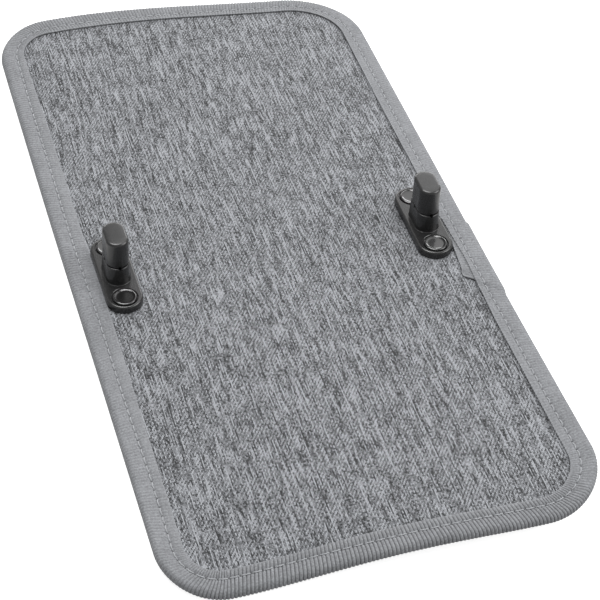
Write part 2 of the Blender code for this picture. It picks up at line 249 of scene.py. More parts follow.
def smooth(obj, degrees):
    """Smooth shading, with an edge kept sharp where it turns by more than this."""
    obj.data.shade_smooth()
    obj.data.set_sharp_from_angle(angle=degrees * pi / 180)
    return obj


def cut(obj, cutters, operation="DIFFERENCE"):
    """Apply Boolean operations to obj and remove the helper solids."""
    for cutter in cutters:
        modifier = obj.modifiers.new(cutter.name, "BOOLEAN")
        modifier.operation = operation
        modifier.solver = "EXACT"
        modifier.object = cutter
    bpy.context.view_layer.update()
    graph = bpy.context.evaluated_depsgraph_get()
    mesh = bpy.data.meshes.new_from_object(obj.evaluated_get(graph))
    old = obj.data
    obj.modifiers.clear()
    obj.data = mesh
    bpy.data.meshes.remove(old)
    for cutter in cutters:
        data = cutter.data
        bpy.data.objects.remove(cutter, do_unlink=True)
        bpy.data.meshes.remove(data)


def even_shading(obj):
    """Keep flat faces flat where they meet rounded edges."""
    smooth(obj, 30)
    modifier = obj.modifiers.new("even shading", "WEIGHTED_NORMAL")
    modifier.keep_sharp = True
    modifier.weight = 100
    return obj


def step_up(value):
    """A smooth rise from 0 to 1."""
    value = np.clip(value, 0, 1)
    return value * value * (3 - 2 * value)


# -------- the panel's shape

def warp(points):
    """Bend points laid out flat as the real panel has bent. The fasteners' band stays flat."""
    points = np.array(points, dtype=float)
    across = points[..., 0] / HALF_X
    along = points[..., 1] / HALF_Y
    away = np.clip(np.abs(along) - FLAT_BAND, 0, None) / (1 - FLAT_BAND)
    near = np.polynomial.polynomial.polyval(across, NEAR_BEND)
    far = np.polynomial.polynomial.polyval(across, FAR_BEND)
    points[..., 2] += np.where(along < 0, near, far) * away ** BEND_POWER
    points[..., 1] += END_BOW * np.sign(along) * away ** BOW_POWER * (1 - across ** 2)
    return points


def outline_segments():
    """The outline's straights and corners: (length, corner radius or 0, start, heading)."""
    near_right, near_left = CORNERS[1, -1], CORNERS[-1, -1]
    far_left, far_right = CORNERS[-1, 1], CORNERS[1, 1]
    runs = [
        (HALF_Y - near_right, near_right),
        (2 * HALF_X - near_right - near_left, near_left),
        (2 * HALF_Y - near_left - far_left, far_left),
        (2 * HALF_X - far_left - far_right, far_right),
        (HALF_Y - far_right, 0.0),
    ]
    segments = []
    place = np.array([HALF_X, 0.0])
    heading = -pi / 2
    for straight, radius in runs:
        segments.append((straight, 0.0, place, heading))
        place = place + straight * np.array([cos(heading), sin(heading)])
        if radius:
            segments.append((radius * pi / 2, radius, place, heading))
            inward = np.array([sin(heading), -cos(heading)])
            heading -= pi / 2
            place = place + radius * (inward - np.array([sin(heading), -cos(heading)]))
    return segments


SEGMENTS = outline_segments()
SEGMENT_STARTS = np.concatenate([[0], np.cumsum([segment[0] for segment in SEGMENTS])])
PERIMETER = SEGMENT_STARTS[-1]
TAPE_LENGTH = PERIMETER + TAIL_END - LAP_START


def edge_frame(distance):
    """Points on the panel's outline and their inward normals, at distances along it.

    Distance 0 is the middle of the right side. It grows towards -Y, clockwise from above.
    """
    distance = np.mod(distance, PERIMETER)
    which = np.searchsorted(SEGMENT_STARTS, distance, side="right") - 1
    which = np.clip(which, 0, len(SEGMENTS) - 1)
    _, radius, start, heading = (np.array(column)[which] for column in zip(*SEGMENTS))
    local = distance - SEGMENT_STARTS[which]
    turned = heading - np.where(radius > 0, local / np.maximum(radius, 1.0), 0.0)
    ahead = np.stack([np.cos(heading), np.sin(heading)], axis=-1)
    inward = np.stack([np.sin(heading), -np.cos(heading)], axis=-1)
    normal = np.stack([np.sin(turned), -np.cos(turned)], axis=-1)
    run = np.where(radius > 0, 0.0, local)
    return start + ahead * run[..., None] + radius[..., None] * (inward - normal), normal


def around(distance):
    """The angle once round the outline: 0 at the right, a quarter turn at the near end."""
    return distance * 2 * pi / PERIMETER


def seam_inset(distance):
    """The seam's distance from the edge, as it wanders by hand."""
    turn = around(distance)
    wander = [size * np.sin(turns * turn + phase) for turns, size, phase in SEAM_WANDER]
    return SEAM_INSET + sum(wander)


def cover_shift(distance):
    """How far the tape shifts towards the face: most on the left, least at the far end."""
    turn = around(distance)
    shift = COVER_MEAN
    for turns, cosine, sine in COVER_WAVES:
        shift = shift + cosine * np.cos(turns * turn) + sine * np.sin(turns * turn)
    return shift


SEAM_SAMPLES = 4001


def seam_length_table():
    """Distances along the outline and the seam's own length up to each of them."""
    distance = np.linspace(0, PERIMETER, SEAM_SAMPLES)
    place, normal = edge_frame(distance[:-1])
    line = place + normal * seam_inset(distance[:-1])[:, None]
    steps = np.linalg.norm(np.roll(line, -1, axis=0) - line, axis=1)
    return distance, np.concatenate([[0], np.cumsum(steps)])


SEAM_DISTANCE, SEAM_LENGTH = seam_length_table()
STITCHES = int(round(SEAM_LENGTH[-1] / STITCH))
STITCH_LENGTH = SEAM_LENGTH[-1] / STITCHES


def seam_at(distance):
    return np.interp(np.mod(distance, PERIMETER), SEAM_DISTANCE, SEAM_LENGTH)


def distance_at(seam):
    return np.interp(np.mod(seam, SEAM_LENGTH[-1]), SEAM_LENGTH, SEAM_DISTANCE)


def lap_lift(distance, inset):
    """How far the outer layer of the tape stands off the tail that lies under it."""
    beyond_tail = distance - (TAIL_END - TAIL_SLANT * inset)
    return LAP_LIFT * (1 - step_up(beyond_tail / LAP_EASE))


# -------- tape and thread

def fold(radius, angles, outer):
    """The section's points round the panel's edge; outer is 1 on the outside, 0 on the inside."""
    half = THICKNESS / 2
    facing = 2 * outer - 1
    points = []
    for angle in angles:
        across, up = -sin(angle), cos(angle)
        place = (half + radius * across, half + radius * up)
        points.append((*place, facing * across, facing * up, outer))
    return points


def tape_section():
    """The tape's cross-section, once round it from its edge on the face.

    Each point is (inset, height, normal inwards, normal up, 1 on the outer side or 0 on the inner).
    """
    half = THICKNESS / 2
    flange = np.concatenate([
        [COVER, COVER - 0.12, COVER - 0.5],
        np.linspace(COVER - 1.1, SEAM_INSET + 1.2, 4),
        SEAM_INSET + np.array([0.75, 0.4, 0.0, -0.4, -0.75]),
        np.linspace(SEAM_INSET - 1.3, half + 0.4, 4),
    ])
    top = [(inset, THICKNESS, 0.0, 1.0, 1.0) for inset in flange]
    bottom = [(inset, 0.0, 0.0, -1.0, 1.0) for inset in flange[::-1]]
    bend = fold(half, np.linspace(0, pi, 11), 1.0)
    inner_bend = fold(half - TAPE, np.linspace(pi, 0, 6), 0.0)
    inner_flange = (COVER, COVER - 0.3, 8.0, SEAM_INSET, 4.0)
    inner_bottom = [(inset, TAPE, 0.0, 1.0, 0.0) for inset in inner_flange]
    inner_top = [(inset, THICKNESS - TAPE, 0.0, -1.0, 0.0) for inset in inner_flange[::-1]]
    return np.array(top + bend + bottom + inner_bottom + inner_bend + inner_top)


def tape_lie(distance, inset, face_side):
    """The section's insets drawn to the real seam and cover, and both of those."""
    tail = np.clip((distance - PERIMETER - TAIL_SHIFT_START) / TAIL_SHIFT_RUN, 0, 1)
    head = 0.0
    for place, spread, share in HEAD_PLACES:
        head = head + share * np.exp(-((distance - place) / spread) ** 2)
    seam = seam_inset(distance)
    cover = COVER + (cover_shift(distance) + TAIL_SHIFT * tail + HEAD_SHIFT * head) * face_side
    half = THICKNESS / 2
    outer_part = half + (inset - half) * (seam - half) / (SEAM_INSET - half)
    inner_part = seam + (inset - SEAM_INSET) * (cover - seam) / (COVER - SEAM_INSET)
    inset = np.where(inset > SEAM_INSET, inner_part, np.where(inset > half, outer_part, inset))
    return inset, seam, cover


def tape_slant(distance, inset, seam):
    """Distances along the outline with the cut ends slanted and the ribs leaning."""
    from_start = distance - LAP_START
    to_end = PERIMETER + TAIL_END - distance
    slant = LAP_SLANT * inset * (1 - step_up(from_start / SLANT_REACH))
    slant_end = TAIL_SLANT * inset * (1 - step_up(to_end / SLANT_REACH))
    lean = RIB_LEAN * np.sin(4 * around(distance)) * (seam - inset)
    return distance - slant - slant_end + lean


def needle_holes(distance, sideways):
    """1 at each needle hole, falling away round it."""
    to_hole = np.mod(seam_at(distance) + STITCH_LENGTH / 2, STITCH_LENGTH) - STITCH_LENGTH / 2
    return np.exp(-(to_hole ** 2 + sideways ** 2) / HOLE_RADIUS ** 2)


def rib_depth_and_gap_shade(distance):
    """How deep the ribs are and how much painted shade lies in their gaps: 1 at the near end, less
    at the far end and along the sides.
    """
    _, facing = edge_frame(distance)
    at_end = np.where(facing[..., 1] < 0, RIB_FAR, 1.0)
    return RIB_SIDE + (at_end - RIB_SIDE) * np.abs(facing[..., 1]) ** 3


def build_tape():
    """Grosgrain tape folded over the edge: ribs across it, a stitched dip, and lapped ends."""
    count = int(round(TAPE_LENGTH / RIB_PITCH)) * RIB_STEPS + 1
    distance = np.linspace(LAP_START, PERIMETER + TAIL_END, count)[:, None]
    phase = (np.arange(count) % RIB_STEPS / RIB_STEPS)[:, None]
    inset, height, normal_in, normal_up, outer = (column[None, :] for column in tape_section().T)
    rib = np.abs(np.sin(pi * phase)) ** RIB_ROUNDNESS * np.ones_like(inset)

    face_side = np.where(height > THICKNESS / 2, 1.0, -1.0)
    inset, seam, cover = tape_lie(distance, inset, face_side)
    place_at = tape_slant(distance, inset, seam)
    lift = lap_lift(distance, inset) * (distance < PERIMETER / 2)

    hole = needle_holes(place_at, inset - seam)
    dip = SEAM_DIP * np.exp(-((inset - seam) / SEAM_WIDTH) ** 2) + HOLE_DIP * hole
    puff_in = np.sin(pi * np.clip((cover - inset) / (cover - seam), 0, 1))
    puff_out = np.sin(pi * np.clip((seam - inset) / seam, 0, 1))
    puff = PUFF_IN * puff_in + PUFF_OUT * puff_out
    selvedge = np.exp(-((cover - inset) / SELVEDGE_WIDTH) ** 2)
    inset = inset + SELVEDGE_SCALLOP * selvedge * (rib - 0.6)

    depth_and_shade = rib_depth_and_gap_shade(distance)
    rib_depth = RIB_DEPTH * depth_and_shade * (1 - SELVEDGE_FLATTENING * selvedge)
    rise = outer * (rib_depth * (rib - 1) + puff - dip + SELVEDGE_BEAD * selvedge)
    rise = rise + lift * np.where(outer > 0, 1, -1)
    rise = rise - (1 - outer) * (puff - dip) * 0.8

    place, inward = edge_frame(place_at)
    inset_now = inset + normal_in * rise
    rows = np.empty(inset.shape + (3,))
    rows[..., :2] = place + inward * inset_now[..., None]
    rows[..., 2] = height + normal_up * rise
    tape = loft("edge_binding_tape", warp(rows))
    # The rib attribute is painted shade on the outer side: 1 on the cords, lower in the gaps
    # between them.
    add_attribute(tape, "rib", 1 - outer * depth_and_shade * (1 - rib))
    # The hole attribute carries the painted shade of the needle holes on the outer side.
    add_attribute(tape, "hole", hole * outer)
    add_attribute(tape, "selvedge", selvedge)
    return smooth(tape, 75)


def build_thread(name, up):
    """One thread of the lockstitch: it lies on the tape and dives to mid-depth at every hole.

    up is 1 for the thread on the face and -1 for the one on the back. shares are places along a
    stitch, from hole to hole, and heights are the thread's there, over the dip of the seam.
    """
    shares = np.array([0.0, 0.07, 0.14, 0.24, 0.5, 0.76, 0.86, 0.93])
    heights = np.array([-1.85, -0.75, -0.12, 0.06, 0.12, 0.06, -0.12, -0.75])
    stitch = np.arange(STITCHES)[:, None]
    seam = ((stitch + shares) * STITCH_LENGTH).ravel()
    height = np.tile(heights, STITCHES)
    sway = np.tile(THREAD_SWAY * np.cos(2 * pi * shares), STITCHES) * up
    distance = distance_at(seam)
    place, inward = edge_frame(distance)
    on_lap = (distance > LAP_START - LAP_SLANT * SEAM_INSET) * (distance < LAP_REACH)
    lift = lap_lift(distance, SEAM_INSET) * on_lap
    level = THICKNESS / 2 + up * (THICKNESS / 2 - SEAM_DIP + lift + height)
    on_seam = place + inward * (seam_inset(distance) + sway)[:, None]
    line = np.concatenate([on_seam, level[:, None]], axis=1)
    ahead = np.roll(line, -1, axis=0) - np.roll(line, 1, axis=0)
    ahead /= np.linalg.norm(ahead, axis=1)[:, None]
    side = np.concatenate([inward, np.zeros((len(inward), 1))], axis=1)
    side -= ahead * np.sum(side * ahead, axis=1)[:, None]
    side /= np.linalg.norm(side, axis=1)[:, None]
    over = np.cross(ahead, side)
    thread = loft(name, warp(tube(line, side, over, THREAD_RADIUS, 8)), closed=True)
    return smooth(thread, 80)


# -------- sheets

def oval_distance(x, y, length, width):
    """Distance outside a round-ended outline centred on the origin, negative inside."""
    reach = np.clip(np.abs(y) - (length - width) / 2, 0, None)
    return np.hypot(x, reach) - width / 2


def waves(x, y, size, count, longest):
    """Gentle unevenness: a sum of waves with fixed random directions."""
    random = np.random.default_rng(SEED)
    total = np.zeros_like(x)
    for _ in range(count):
        direction = random.uniform(0, pi)
        wavelength = random.uniform(0.3, 1.0) * longest
        phase = random.uniform(0, 2 * pi)
        total += np.sin((x * cos(direction) + y * sin(direction)) * 2 * pi / wavelength + phase)
    return size * total / count ** 0.5


def corner_radius(x, y):
    """The radius of the corner that each point is nearest to."""
    left = np.where(y < 0, CORNERS[-1, -1], CORNERS[-1, 1])
    right = np.where(y < 0, CORNERS[1, -1], CORNERS[1, 1])
    return np.where(x < 0, left, right)


def edge_inset(x, y):
    """Distance in from the panel's outline."""
    radius = corner_radius(x, y)
    beyond_x = np.clip(np.abs(x) - (HALF_X - radius), 0, None)
    beyond_y = np.clip(np.abs(y) - (HALF_Y - radius), 0, None)
    straight = np.minimum(HALF_X - np.abs(x), HALF_Y - np.abs(y))
    in_corner = (beyond_x > 0) & (beyond_y > 0)
    return np.where(in_corner, radius - np.hypot(beyond_x, beyond_y), straight)


def side_limit(side, y, edge):
    """The x of a sheet's side at y, for a sheet cut back by edge all round."""
    radius = corner_radius(np.full_like(y, side), y) - edge
    reach = np.clip(np.abs(y) - (HALF_Y - edge - radius), 0, radius)
    return side * (HALF_X - edge - radius + np.sqrt(radius ** 2 - reach ** 2))


def face_height(x, y):
    """The cloth's top: held down by the tape and the plates, a little full between them."""
    inset = edge_inset(x, y)
    full = step_up((inset - COVER + 0.5) / FULL_OVER)
    uneven = waves(x, y, UNEVENNESS, 9, 60.0)
    height = FACE_Z - 0.05 + FULLNESS * full + uneven * full
    for side in SIDES.values():
        outside = oval_distance(x - side * FASTENER_X, y - FASTENER_Y, PLATE_LENGTH, PLATE_WIDTH)
        pressed = 1 - step_up((outside + 0.4) / 3.5)
        height = height * (1 - pressed) + (PLATE_Z - 0.08) * pressed
    return height


def foam_height(x, y):
    """The foam's top, under the cloth that it fills."""
    return face_height(x, y) - FOAM_BELOW_FACE


CORNER_ROWS = 18


def sheet(name, node, columns, rows, top=None):
    """A closed sheet with the panel's outline, of columns by rows points and more at the ends.

    top gives the upper face's height at (x, y), or the sheet is level.
    """
    low, high = (corner[2] for corner in cad_box(node))
    edge = SHEET_EDGE
    half_y = HALF_Y - edge
    widest = max(CORNERS.values()) - edge
    ends = half_y - widest + widest * np.sin(np.linspace(0, pi / 2, CORNER_ROWS))[1:]
    middle = np.linspace(-(half_y - widest), half_y - widest, rows)
    y = np.concatenate([-ends[::-1], middle, ends])
    left = side_limit(-1, y, edge)[:, None]
    right = side_limit(1, y, edge)[:, None]
    x = left + (right - left) * np.linspace(0, 1, columns)[None, :]
    y = y[:, None] * np.ones_like(x)
    upper = np.full_like(x, high) if top is None else top(x, y)
    lower = upper - (high - low) if top is not None else np.full_like(x, low)
    over = np.stack([x, y, upper], axis=-1)
    under = np.stack([x, y, lower], axis=-1)[:, ::-1]
    return loft(name, warp(np.concatenate([over, under], axis=1)))


def punch(obj):
    """Cut the four rivet holes, with drills that reach past the sheet above and below."""
    drills = []
    for side in SIDES.values():
        for end in (-1, 1):
            drill = turned(f"{obj.name} drill", [(RIVET_HOLE, 9.0), (RIVET_HOLE, -4.0)], 24)
            drill.location = (side * FASTENER_X * MM, (FASTENER_Y + end * RIVET_OFFSET) * MM, 0)
            drills.append(drill)
    cut(obj, drills)
    smooth(obj, 35)


def build_sheets():
    sheets = {
        "back_lining": sheet("back_lining_cloth", "back_lining", 60, 90),
        "stiffener_board": sheet("stiffener_board_sheet", "stiffener_board", 40, 60),
        "foam_layer": sheet("foam_layer_sheet", "foam_layer", 80, 120, foam_height),
        "face_fabric": sheet("face_fabric_cloth", "face_fabric", 130, 230, face_height),
    }
    for obj in sheets.values():
        punch(obj)
    return sheets


# -------- fasteners

def turned(name, profile, steps=64):
    """A solid of revolution about Z through (radius, height) points, from one end to the other."""
    angle = np.linspace(0, 2 * pi, steps, endpoint=False)
    rows = []
    for radius, height in profile:
        level = np.full(steps, height)
        rows.append(np.stack([radius * np.cos(angle), radius * np.sin(angle), level], axis=-1))
    return loft(name, rows)


def ring(name, profile, steps=64):
    """A ring about Z whose cross-section is a closed loop of (radius, height) points."""
    angle = np.linspace(0, 2 * pi, steps, endpoint=False)
    rows = []
    for a in angle:
        rows.append([(radius * cos(a), radius * sin(a), height) for radius, height in profile])
    return loft(name, rows, closed=True)


def oval(length, width, height, steps=20):
    """A level round-ended outline with its length along Y."""
    radius = width / 2
    points = []
    for quarter, side_y in enumerate((1, 1, -1, -1)):
        for step in range(steps):
            angle = (quarter + (step + 0.5) / steps) * pi / 2
            y = side_y * (length / 2 - radius) + radius * sin(angle)
            points.append((radius * cos(angle), y, height))
    return points


def rounded(radius, steps, start=0.0):
    """(inset, drop) pairs round a quarter circle, from the upright side to the level top."""
    angles = np.linspace(0, pi / 2, steps + 1)
    return [(start + radius * (1 - cos(a)), radius * (1 - sin(a))) for a in angles]


def oval_stack(name, length, width, sections):
    """A body of level ovals; each section is (inset all round, height), from the bottom up."""
    rows = [oval(length - 2 * inset, width - 2 * inset, height) for inset, height in sections]
    return loft(name, rows)


def grooves(name, height):
    """Two crossed bars on edge, which leave the detent's V grooves right across a piece."""
    half = GROOVE_DEPTH
    loop = [(half, 0), (0, half), (-half, 0), (0, -half)]
    ends = (-15.0, 15.0)
    along_y = [[(across, end, height + up) for across, up in loop] for end in ends]
    along_x = [[(end, across, height + up) for across, up in loop] for end in ends]
    return [loft(f"{name} notch y", along_y), loft(f"{name} notch x", along_x)]


def rivet_sink(name):
    """A countersink for a rivet's head, with a hole for its shank through the plate."""
    return turned(name, [
        (5.5, PLATE_TOP + 0.5), (5.35, PLATE_TOP + 0.02),
        (5.15, PLATE_TOP - 0.15), (5.05, PLATE_TOP - 0.5),
        (RIVET_HOLE, PLATE_TOP - 1.2), (RIVET_HOLE, PLATE_Z - 1),
    ])


def build_base_plate(name):
    """The moulded plate: rounded rim, waisted boss, countersunk ends, hollow for the spring."""
    edge = [(inset, PLATE_TOP - drop) for inset, drop in rounded(PLATE_ROUND, 7, 0.05)]
    foot = [(0.2, PLATE_Z), (0.0, PLATE_Z + 0.2)]
    plate = oval_stack(name, PLATE_LENGTH, PLATE_WIDTH, foot + edge)
    sections = [(-BOSS_FLARE - 0.2, PLATE_TOP - 0.6)]
    for step in range(9):
        angle = step / 8 * pi / 2
        rise = BOSS_FLARE * 1.6 * (1 - cos(angle))
        sections.append((-BOSS_FLARE * (1 - sin(angle)), PLATE_TOP - 0.02 + rise))
    sections += [(BOSS_DRAFT + inset, BOSS_TOP - drop) for inset, drop in rounded(BOSS_ROUND, 5)]
    boss = oval_stack(f"{name} boss", BOSS_LENGTH, BOSS_WIDTH, sections)
    cut(plate, [boss], "UNION")
    cavity = turned(f"{name} cavity", [
        (SPINDLE_BORE, BOSS_TOP + 1), (SPINDLE_BORE, SPRING_POCKET_TOP),
        (SPRING_POCKET, SPRING_POCKET_TOP), (SPRING_POCKET, PLATE_Z - 1),
    ])
    tools = [cavity, *grooves(name, BOSS_TOP)]
    for end in (-1, 1):
        sink = rivet_sink(f"{name} sink {end}")
        sink.location.y = end * RIVET_OFFSET * MM
        tools.append(sink)
    cut(plate, tools)
    return even_shading(plate)


def build_knob(name):
    """The oval button: upright sides, rounded rims, a very slight crown, V grooves below."""
    length = KNOB_HIGH[1] - KNOB_LOW[1]
    width = KNOB_HIGH[0] - KNOB_LOW[0]
    foot = [(0.3, KNOB_Z), (0.09, KNOB_Z + 0.09), (0.0, KNOB_Z + 0.3)]
    rim = [(inset, KNOB_TOP - 0.08 - drop) for inset, drop in rounded(KNOB_ROUND, 10)]
    crown = [(1.5, KNOB_TOP - 0.04), (2.6, KNOB_TOP - 0.01), (3.8, KNOB_TOP)]
    knob = oval_stack(name, length, width, foot + rim + crown)
    bore = turned(f"{name} bore", [(KNOB_BORE, KNOB_Z - 1), (KNOB_BORE, KNOB_Z + KNOB_BORE_DEPTH)])
    cut(knob, [bore, *grooves(name, KNOB_Z)])
    return even_shading(knob)


# The rivet: the crest and underside of its head as (radius, height over the plate), and its end,
# flared over the burr washer, as (radius, height).
RIVET_CREST = (
    (4.06, 0.372), (4.14, 0.362), (4.24, 0.335), (4.34, 0.298),
    (4.43, 0.25), (4.51, 0.18), (4.57, 0.08), (4.6, -0.05),
)
RIVET_UNDER = ((4.5, -0.36), (4.15, -0.6), (2.6, -0.95), (2.1, -1.1))
RIVET_FLARE = (
    (2.1, 0.85), (2.35, 0.6), (2.8, 0.33), (3.15, 0.16), (3.1, 0.08), (2.7, 0.12),
    (2.2, 0.4), (1.7, 0.8), (1.45, 1.2), (1.4, 2.2), (0.04, 2.3),
)
DISH_RADIUS = 4.0


def build_rivet(name):
    """A dished rivet: flat-bottomed bowl, crested lip, hollow shank flared over its washer."""
    bowl = []
    for share in np.linspace(0.01, 1, 28):
        rise = 0.04 * share ** 2 + 0.34 * share ** 6
        bowl.append((DISH_RADIUS * share, PLATE_TOP - 0.02 + rise))
    crest = [(radius, PLATE_TOP + rise) for radius, rise in RIVET_CREST]
    under = [(radius, PLATE_TOP + rise) for radius, rise in RIVET_UNDER]
    rivet = turned(name, bowl + crest + under + list(RIVET_FLARE))
    return smooth(rivet, 45)


def build_spring(name, low, high, radius=2.4, wire_radius=0.3, turns=6.5):
    """A compression spring with closed ends, as one coiled tube between two heights."""
    steps = int(turns * 28)
    share = np.linspace(0, 1, steps + 1)
    angle = share * turns * 2 * pi
    closed = 0.85 / turns
    climb = np.clip((share - closed) / (1 - 2 * closed), 0, 1)
    first_end = np.clip(share / closed, 0, 1)
    last_end = np.clip((share - 1 + closed) / closed, 0, 1)
    ends = wire_radius * 2 * (first_end + last_end)
    height = low + wire_radius + ends + climb * (high - low - 6 * wire_radius)
    line = np.stack([radius * np.cos(angle), radius * np.sin(angle), height], axis=-1)
    side = np.stack([np.cos(angle), np.sin(angle), np.zeros_like(angle)], axis=-1)
    up = np.zeros_like(line) + (0, 0, 1.0)
    spring = loft(name, tube(line, side, up, wire_radius, 12))
    return smooth(spring, 60)


def build_screw(name):
    """The spindle screw: slotted head below, plain shank, thread up into the knob."""
    _, bottom, top = disc_size("right_spindle_screw")
    head_top = bottom + 1.4
    shank = 1.5
    root = shank - 0.3
    profile = [
        (0.04, bottom), (2.2, bottom), (2.6, bottom + 0.12), (2.8, bottom + 0.45),
        (2.8, head_top - 0.1), (2.7, head_top),
        (shank + 0.15, head_top), (shank, head_top + 0.15), (shank, KNOB_Z - 0.4),
    ]
    turns = 11
    pitch = (top - 0.6 - KNOB_Z) / turns
    for turn in range(turns):
        start = KNOB_Z + turn * pitch
        profile += [(root, start), (shank, start + pitch * 0.45), (shank, start + pitch * 0.55)]
    profile += [(root, top - 0.5), (0.9, top), (0.04, top)]
    screw = turned(name, profile, 40)
    loop = [(-0.4, bottom - 1), (0.4, bottom - 1), (0.4, bottom + 0.65), (-0.4, bottom + 0.65)]
    slot = loft(f"{name} slot", [[(end, *place) for place in loop] for end in (-4.0, 4.0)])
    cut(screw, [slot])
    return smooth(screw, 35)


def disc_size(node):
    """A disc's outer radius, bottom and top in the CAD."""
    low, high = cad_box(node)
    return (high[0] - low[0]) / 2, low[2], high[2]


def build_washer(name, node, hole):
    """A flat washer with its edges eased."""
    outer, bottom, top = disc_size(node)
    edge = 0.08
    washer = ring(name, [
        (outer, top - edge), (outer, bottom + edge), (outer - edge, bottom), (hole + edge, bottom),
        (hole, bottom + edge), (hole, top - edge), (hole + edge, top), (outer - edge, top),
    ])
    return smooth(washer, 30)


def build_burr(name, node):
    """The washer under the rivet's flared end, countersunk for it."""
    outer, bottom, top = disc_size(node)
    burr = ring(name, [
        (outer, top - 0.1), (outer, bottom + 0.12), (outer - 0.12, bottom), (3.75, bottom),
        (2.55, top - 0.05), (2.5, top), (outer - 0.1, top),
    ])
    return smooth(burr, 30)


# -------- materials

class Nodes:
    """One material's node tree, built by short calls, in the piece's own millimetres."""

    INPUTS = {
        "metallic": "Metallic", "sheen": "Sheen Weight", "sheen_roughness": "Sheen Roughness",
        "specular": "Specular IOR Level",
    }

    def __init__(self, name):
        self.material = bpy.data.materials.new(name)
        self.material.use_nodes = True
        self.tree = self.material.node_tree
        self.shader = self.tree.nodes["Principled BSDF"]

    def put(self, socket, value):
        """Link an input or set its value; a tuple is a colour."""
        if isinstance(value, bpy.types.NodeSocket):
            self.tree.links.new(value, socket)
        elif isinstance(value, tuple):
            socket.default_value = (*value, 1.0)
        else:
            socket.default_value = value

    def add(self, kind, inputs, output=0, **settings):
        """A new node with its settings and inputs; gives the output asked for."""
        node = self.tree.nodes.new(kind)
        for key, value in settings.items():
            setattr(node, key, value)
        for key, value in inputs.items():
            self.put(node.inputs[key], value)
        return node.outputs[output]

    def math(self, operation, *values):
        """A maths node; MULTIPLY_ADD is the first value times the second, plus the third."""
        return self.add("ShaderNodeMath", dict(enumerate(values)), operation=operation)

    def place(self):
        """The piece's x, y and z in millimetres."""
        split = self.tree.nodes.new("ShaderNodeSeparateXYZ")
        self.put(split.inputs[0], self.add("ShaderNodeTexCoord", {}, "Object"))
        return [self.math("MULTIPLY", output, 1000.0) for output in split.outputs]

    def vector(self, x, y, z):
        return self.add("ShaderNodeCombineXYZ", {0: x, 1: y, 2: z})

    def noise(self, vector, scale=1.0, detail=2.0, roughness=0.5):
        inputs = {"Vector": vector, "Scale": scale, "Detail": detail, "Roughness": roughness}
        return self.add("ShaderNodeTexNoise", inputs)

    def grain(self, scale, detail=2.0, roughness=0.5, stretch=(1.0, 1.0, 1.0)):
        """Noise through the piece, squeezed along an axis by its stretch."""
        place = self.place()
        for axis, factor in enumerate(stretch):
            if factor != 1.0:
                place[axis] = self.math("MULTIPLY", place[axis], factor)
        return self.noise(self.vector(*place), scale, detail, roughness)

    def random(self, vector):
        """A number from 0 to 1 that differs from one whole-number place to the next."""
        return self.add("ShaderNodeTexWhiteNoise", {"Vector": vector}, "Value")

    def spread(self, value, low, high, new_low=0.0, new_high=1.0):
        """Map a value from one range to another, clamped."""
        inputs = {0: value, 1: low, 2: high, 3: new_low, 4: new_high}
        return self.add("ShaderNodeMapRange", inputs)

    def mix(self, share, first, second):
        """A number between first, at share 0, and second, at share 1."""
        return self.add("ShaderNodeMix", {0: share, 2: first, 3: second}, data_type="FLOAT")

    def colours(self, share, first, second):
        """A colour between first, at share 0, and second, at share 1."""
        return self.add("ShaderNodeMix", {0: share, 6: first, 7: second}, 2, data_type="RGBA")

    def attribute(self, name):
        return self.add("ShaderNodeAttribute", {}, "Fac", attribute_name=name)

    def bump(self, height, depth):
        """Relief in the surface; depth is in millimetres for a height of 1."""
        inputs = {"Height": height, "Distance": depth * MM, "Strength": 1.0}
        self.put(self.shader.inputs["Normal"], self.add("ShaderNodeBump", inputs))

    def finish(self, colour, roughness, **more):
        """Set the surface and hand the material over."""
        self.put(self.shader.inputs["Base Color"], colour)
        self.put(self.shader.inputs["Roughness"], roughness)
        for key, value in more.items():
            self.put(self.shader.inputs[self.INPUTS[key]], value)
        return self.material


def grey(level, tint=0.03):
    """A slightly cool grey, linear."""
    return (level * (1 - tint * 0.5), level, level * (1 + tint))


def weave(g, x, y, pitches):
    """A 2/1 twill: each warp yarn floats over two weft yarns and dives under one.

    Gives the warp and the weft yarn's number, 1 where the warp is on top, the warp yarn's
    roundness across, and the surface's height from 0 to 1.
    """
    drift_x = g.math("MULTIPLY_ADD", g.noise(g.vector(x, y, 1.0), 0.08), 0.8, -0.4)
    drift_y = g.math("MULTIPLY_ADD", g.noise(g.vector(y, x, 9.0), 0.08), 0.8, -0.4)
    warp_place = g.math("DIVIDE", g.math("ADD", x, drift_x), pitches[0])
    weft_place = g.math("DIVIDE", g.math("ADD", y, drift_y), pitches[1])
    warp_yarn = g.math("FLOOR", warp_place)
    weft_yarn = g.math("FLOOR", weft_place)
    cycle = g.math("FLOORED_MODULO", g.math("SUBTRACT", weft_place, warp_yarn), 3.0)
    over = g.math("LESS_THAN", cycle, 2.0)
    float_hump = g.math("SINE", g.math("MULTIPLY", g.math("MINIMUM", cycle, 2.0), pi / 2))
    weft_hump = g.math("SINE", g.math("MULTIPLY", g.math("FRACT", cycle), pi))
    round_x = g.math("SINE", g.math("MULTIPLY", g.math("FRACT", warp_place), pi))
    warp_up = g.math("MULTIPLY", round_x, g.math("MULTIPLY_ADD", float_hump, 0.6, 0.4))
    weft_up = g.math("MULTIPLY", weft_hump, g.math("MULTIPLY_ADD", round_x, 0.3, 0.4))
    height = g.mix(over, weft_up, warp_up)
    return warp_yarn, weft_yarn, over, round_x, height


